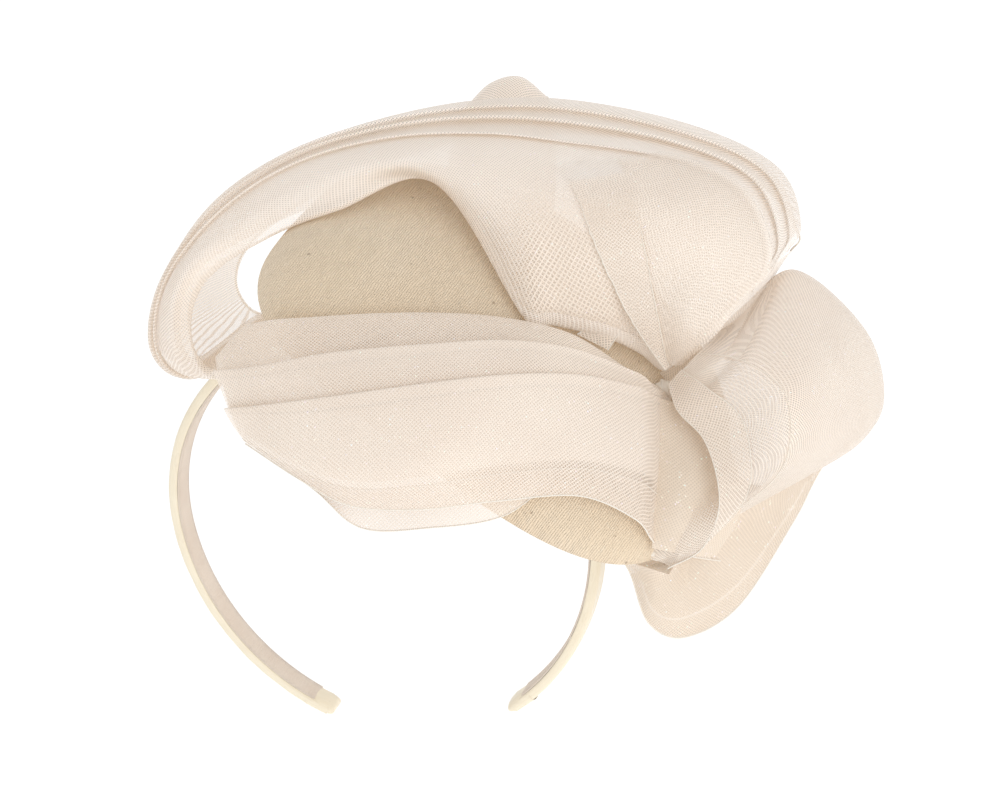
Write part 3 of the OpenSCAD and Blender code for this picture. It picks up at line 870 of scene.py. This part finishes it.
def selvedge(build, surface, s, t, radius=0.26, height=0.0):
    """Fine woven edge along a free side."""
    line = surface.lifted(s, [t], np.array([height]))[:, 0]
    build.grid(tube(line, radius, 5), EDGE, loop_cols=True)


def rolled(t_edge, t_in, depth, count=9):
    """(t, height) of a soft fold: from behind the cloth, round its edge, to its face."""
    turn = np.radians(steps(180, 0, count))
    reach = (t_in - t_edge) * 0.5
    t = t_edge + np.abs(reach) * (1 - np.sin(turn)) * np.sign(t_in - t_edge)
    h = -depth * 0.5 * (1 - np.cos(turn))
    return t, h


def ease(values, low, high):
    x = np.clip((np.asarray(values, float) - low) / (high - low), 0, 1)
    return x * x * (3 - 2 * x)


def between(values, start, full, fading, gone):
    """1 from full to fading, and 0 before start and after gone."""
    return ease(values, start, full) * (1 - ease(values, fading, gone))


def make_brim():
    surface = Surface(brim_stations, out=-1)
    build = Build("brim_loop_cloth")
    s = steps(0, 13, 230)
    roll_t, roll_h = rolled(0.0, 0.16, 2.6)
    t, h = tucked(0.08, 3.0, 90, [(1.40, 0.06, 1.3, -1), (1.60, 0.07, 2.1, -1), (1.79, 0.06, 1.6, -1)])
    t = np.concatenate([roll_t[:-1], t])
    h = np.concatenate([roll_h[:-1], h])
    fade = between(s, 0.1, 1.9, 11.2, 12.5)[:, None]
    dip = 1.6 * ease(t, 1.2, 1.7) * (1 - 0.5 * ease(t, 2.1, 2.8))
    height = h[None, :] * np.where(h > 0, fade, 1.0) - dip[None, :]
    ripple = 0.5 * np.sin(s * 2.3)[:, None] * np.sin(t * 2.2)[None, :]
    lace = 0.6 * between(s, 2.6, 3.6, 5.0, 6.0)[:, None] * (1 - ease(t, 0.2, 1.0))[None, :]
    inner = np.maximum(ease(s, 6.5, 8.0)[:, None] * 0.35, 0.55 * ease(t, 1.3, 1.9)[None, :])
    layer(build, surface, s, t, height + ripple * 0.4, CRIN_PALE, opened=np.maximum(lace, inner))
    s2 = steps(0, 13, 150)
    t2 = steps(0.3, 2.1, 34)
    thin = 0.4 + 1.6 * between(s2, 3.0, 3.8, 5.0, 5.8)[:, None] * (1 - ease(t2, 0.3, 0.9))[None, :]
    layer(build, surface, s2, t2, np.full(34, -2.4), CRIN, turn=5.0, shift=1.0, opened=thin)
    # A coarser stretch near the gathers of the fan.
    s3, t3 = steps(2.2, 5.8, 90), steps(0.02, 1.3, 44)
    thin = 2.0 - 1.8 * (1 - ease(t3, 0.30, 1.25))[None, :] * between(s3, 2.2, 3.3, 3.9, 5.6)[:, None]
    layer(build, surface, s3, t3, 0.5 - 2.0 * (1 - ease(t3, 0.0, 0.14)), CRIN_OPEN, turn=18.0, opened=thin)
    selvedge(build, surface, s, 3.0)
    return build.make(), surface


def make_facing(brim_surface):
    """Second layer of the fan: lies on the brim loop, its hemmed side free at the left."""
    own = Surface(facing_stations, out=1)
    s = steps(0, 4, 70)
    t = steps(0, 4.2, 72)
    points = own.at(s, t)
    near_s, near_t = steps(0, 6.0, 120), steps(0, 1.46, 70)
    base = brim_surface.at(near_s, near_t).reshape(-1, 3)
    away = brim_surface.normal(near_s, near_t).reshape(-1, 3)
    flat = points.reshape(-1, 3)
    settled = np.zeros_like(flat)
    for k, point in enumerate(flat):
        gap = np.sum((base - point) ** 2, axis=1)
        close = np.argsort(gap)[:6]
        weight = 1 / (gap[close] + 0.4)
        weight /= weight.sum()
        settled[k] = weight @ (base[close] + away[close] * 0.9)
    settled = settled.reshape(points.shape)
    free = (1 - ease(t, 0.2, 1.6))[None, :, None]
    placed = settled * (1 - free) + points * free
    build = Build("fan_facing_cloth")
    uv = weave_map(placed, 20.0)
    inner = 1 - ease(t, 0.3, 1.8)
    build.grid(placed, CRIN, uv=uv, opened=0.2 + 0.6 * inner + 1.8 * ease(t, 3.0, 3.9))
    # Hem: the free side is turned in by about 6 mm.
    lift = own.normal(s, t)
    hem_rows = 16
    strip = placed[:hem_rows] + lift[:hem_rows] * 0.55
    build.grid(strip, CRIN, uv=weave_map(strip, 11.0, 2.0), opened=0.2 + 1.8 * ease(t, 1.8, 3.0)[None, :])
    outer_edge = placed[0] + lift[0] * 0.4
    inner_edge = placed[hem_rows - 1] + lift[hem_rows - 1] * 0.7
    build.grid(tube(outer_edge, 0.24 * (1 - 0.9 * ease(t, 1.8, 3.2)), 5), EDGE, loop_cols=True)
    build.grid(tube(inner_edge, 0.14 * (1 - 0.9 * ease(t, 1.6, 2.8)), 5), EDGE, loop_cols=True)
    return build.make()


def make_tab():
    surface = Surface(tab_stations, out=-1)
    build = Build("inner_tab_cloth")
    s, t = steps(0, 2, 26), steps(0, 2, 20)
    layer(build, surface, s, t, np.zeros(20), CRIN, opened=0.3)
    for edge in (0.0, 2.0):
        selvedge(build, surface, s, edge, 0.22)
    return build.make()


def make_front():
    surface = Surface(front_stations, out=-1)
    surface.sink = lambda s: -15.0 * np.clip(np.asarray(s, float) - 6.9, 0, None) ** 1.4
    build = Build("front_loop_cloth")
    s = steps(0, 8.2, 200)
    t, h = tucked(0.0, 7.0, 150, [(4.0, 0.22, 1.7, -1), (5.0, 0.20, 1.7, -1)])
    fade = (1 - ease(s, 6.0, 7.0))[:, None]
    lace = between(t, 2.9, 3.3, 3.95, 4.0) + 0.5 * between(t, 4.3, 4.9, 4.99, 5.0)
    lace = lace[None, :] * (1 - ease(s, 3.5, 6.0))[:, None] * 0.9
    layer(build, surface, s, t, h[None, :] * np.where(h > 0, fade, 1.0), CRIN,
          opened=np.maximum(lace, 0.9 * ease(t, 6.1, 6.6)[None, :]))
    s2 = steps(0, 8.1, 130)
    t2 = steps(4.1, 6.3, 44)
    layer(build, surface, s2, t2, np.full(44, -0.8), CRIN, turn=5.0, shift=1.0)
    # Hem of the front edge.
    t3 = steps(6.45, 7.0, 12)
    layer(build, surface, s2, t3, np.full(12, -0.45), CRIN, turn=8.0, shift=2.0, opened=0.3)
    # Where the loop runs on into the right one, its cloth lies smooth across the mouth.
    inside = Surface(mouth_stations, out=1)
    # The mouth's sheet is the denser crin, its darker warm colour painted shade.
    layer(build, inside, steps(0, 4, 60), steps(0, 3, 40), np.zeros(40), CRIN_DENSE_PAINTED_SHADE, turn=9.0)
    selvedge(build, surface, s, 7.0, 0.2)
    selvedge(build, surface, s, 6.45, 0.12, 0.1)
    selvedge(build, surface, s, 0.0, 0.2)
    return build.make()


def make_right():
    surface = Surface(right_stations, out=1)
    build = Build("right_loop_cloth")
    s = steps(0, 6, 150)
    t = steps(0, 5, 120)
    crease = -1.6 * np.exp(-((s[:, None] - 0.85 + 0.12 * t[None, :]) / 0.22) ** 2)
    crease = crease * between(t, 0.1, 0.5, 1.6, 2.3)[None, :]
    lace = (1 - ease(t, 0.5, 1.4))[None, :] * ease(s, 0.5, 1.5)[:, None] * 0.8
    back = ease(t, 2.6, 3.2)[None, :] * 0.3
    layer(build, surface, s, t, crease, CRIN, opened=np.maximum(lace, back))
    s2 = steps(0, 6, 100)
    t2 = steps(0.9, 2.6, 40)
    layer(build, surface, s2, t2, np.full(40, -0.9), CRIN, turn=5.0, shift=1.0)
    hem, gap = 0.42, 0.5
    layer(build, surface, s2, steps(0, hem, 12), np.full(12, gap), CRIN, turn=8.0, shift=2.0, opened=0.6)
    selvedge(build, surface, s2, 0.0, 0.2, 0.3)
    selvedge(build, surface, s2, hem, 0.13, gap + 0.1)
    selvedge(build, surface, s2, 0.9, 0.10, 0.1)
    selvedge(build, surface, s2, 5.0, 0.2)
    # The ribbon runs on under the fan, and its lower corner turns back over the base.
    share = steps(0, 1, 24)[:, None, None]
    top = brim_surface.at([0.45], steps(0.0, 2.6, 60)) - 4.0 * OUT
    low = surface.at([0.55], steps(0.0, 2.4, 60)) - surface.normal([0.55], steps(0.0, 2.4, 60)) * 0.6
    valley = top * (1 - share) + low * share - 5.0 * np.sin(share * math.pi) * OUT
    build.grid(valley, CRIN, uv=weave_map(valley, 12.0), flip=True)
    corner = Surface(corner_stations)
    bare = 1 - ease(steps(0, 3, 40), 0.0, 1.3)
    layer(build, corner, steps(0, 3, 40), steps(0, 2, 30), np.zeros(30), CRIN, turn=14.0,
          opened=0.4 + 1.6 * bare[:, None])
    return build.make()


def make_lower():
    surface = Surface(lower_stations, out=-1)
    build = Build("lower_loop_cloth")
    s, t = steps(-0.5, 5.5, 110), steps(-0.9, 2, 60)
    # The lower loop's cloth is the denser crin, darkened with painted shade.
    layer(build, surface, s, t, np.zeros(60), CRIN_DENSE_PAINTED_SHADE, opened=0.3 * ease(t, 1.2, 2.0)[None, :])
    s2 = steps(-0.3, 5.5, 90)
    for low, high, gap in ((1.15, 1.5, -0.5), (1.62, 2.0, -0.5)):
        t2 = steps(low, high, 10)
        layer(build, surface, s2, t2, np.full(10, gap), CRIN, turn=7.0, shift=2.0)
    layer(build, surface, s2, steps(0, 1.6, 24), np.full(24, -1.1), CRIN_DENSE_PAINTED_SHADE, turn=-6.0)
    # The end drawn up under the base, beside the gather.
    end = Surface(lower_end_stations)
    layer(build, end, steps(0, 2, 20), steps(0, 2, 20), np.zeros(20), CRIN_DENSE_PAINTED_SHADE, turn=20.0)
    selvedge(build, surface, s, 2.0)
    return build.make()


def make_back():
    surface = Surface(back_stations, out=1)
    build = Build("back_loop_cloth")
    s, t = steps(0, 3, 60), steps(0, 4, 80)
    layer(build, surface, s, t, np.zeros(80), CRIN_PALE, opened=0.2)
    layer(build, surface, s, steps(0.1, 3.9, 50), np.full(50, -0.8), CRIN, turn=5.0, shift=1.0, opened=0.4)
    for line in (surface.at([0.0], t)[0], surface.at([3.0], t)[0]):
        build.grid(tube(line, 0.24, 5), EDGE, loop_cols=True)
    return build.make()


brim, brim_surface = make_brim()
facing = make_facing(brim_surface)
tab = make_tab()
front = make_front()
right = make_right()
lower = make_lower()
back = make_back()


def make_bound_gather(name, place, radius, node):
    """Turns of ribbon drawn tight round a gather."""
    build = Build(name)
    rings = []
    for a in np.radians(steps(2, 178, 14)):
        rings.append([(radius * math.sin(a) * math.cos(b) * (1 + 0.10 * math.cos(7 * b)),
                       radius * math.sin(a) * math.sin(b) * (1 + 0.10 * math.cos(7 * b)),
                       radius * 0.9 * math.cos(a)) for b in np.linspace(0, 2 * math.pi, 56, endpoint=False)])
    build.grid(from_bow(np.array(rings) + np.array(place, float)), EDGE, loop_cols=True, flip=True)
    piece = build.make()
    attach(piece, "crown")
    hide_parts(node)
    return piece


main_gather = make_bound_gather("main_gather", (43, 3, 21.5), 2.4, "main_knot")
lower_gather = make_bound_gather("lower_gather", (41, -39, 29), 2.6, "lower_knot")
tail_gather = make_bound_gather("brim_tail_gather", (-39, 26, -3), 3.8, "brim_tail_knot")

# Cut sizes, set to agree with the area of the cloth built above, hems and doubled layers included, are listed
# with each piece's hold, supports and extra pieces but not used; each piece is attached to the crown and its
# model parts hidden.
for piece, nodes, flat, held, on, extra in (
    (brim, ("brim_loop", "brim_loop_tail"), (0.15, 0.25), "gathered", ("felt_base",), [tail_gather]),
    (facing, ("fan_facing",), (0.055, 0.058), "gathered", ("brim_loop_cloth",), []),
    (tab, ("inner_tab",), (0.010, 0.010), "folded", ("felt_base",), []),
    (front, ("front_loop",), (0.15, 0.15), "folded", ("felt_base",), [main_gather]),
    (right, ("right_loop",), (0.15, 0.115), "gathered", ("felt_base", "main_gather"), []),
    (lower, ("lower_loop",), (0.055, 0.065), "gathered", ("lower_gather",), [lower_gather]),
    (back, ("back_loop",), (0.13, 0.04), "folded", ("felt_base",), []),
):
    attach(piece, "crown")
    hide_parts(*nodes)

# ---------------------------------------------------------------- floor and light


def make_stage():
    floor = Build("floor")
    low = cad_box[0][2] / MM - 1.0
    far = 3000.0
    corners = np.array([[(-far, -far, low), (-far, far, low)], [(far, -far, low), (far, far, low)]])
    material, n, shader = new_material("pale_floor")
    shader.inputs["Base Color"].default_value = (0.6, 0.6, 0.6, 1)
    shader.inputs["Roughness"].default_value = 0.9
    shader.inputs["Specular IOR Level"].default_value = 0.0
    shader.inputs["Emission Color"].default_value = (1, 1, 1, 1)
    shader.inputs["Emission Strength"].default_value = 0.62
    floor.grid(corners, material, flip=True)
    piece = floor.make(smooth=False)


def add_light(name, place, target, size, power):
    data = bpy.data.lights.new(name, "AREA")
    data.size = size
    data.energy = power
    lamp = bpy.data.objects.new(name, data)
    lamp.location = place
    lamp.rotation_euler = (Vector(target) - Vector(place)).to_track_quat("-Z", "Y").to_euler()
    bpy.context.scene.collection.objects.link(lamp)


def make_light():
    world = bpy.data.worlds.new("studio")
    world.use_nodes = True
    background = world.node_tree.nodes["Background"]
    background.inputs[0].default_value = (1, 1, 1, 1)
    background.inputs[1].default_value = 0.81
    bpy.context.scene.world = world
    middle = bow_centre * MM
    front = (bow_centre + 500 * ACROSS - 150 * UP + 800 * OUT) * MM
    add_light("front_right", tuple(front), tuple(middle), 0.6, 2.5)
    bpy.context.scene.view_settings.view_transform = "Standard"


make_stage()
make_light()
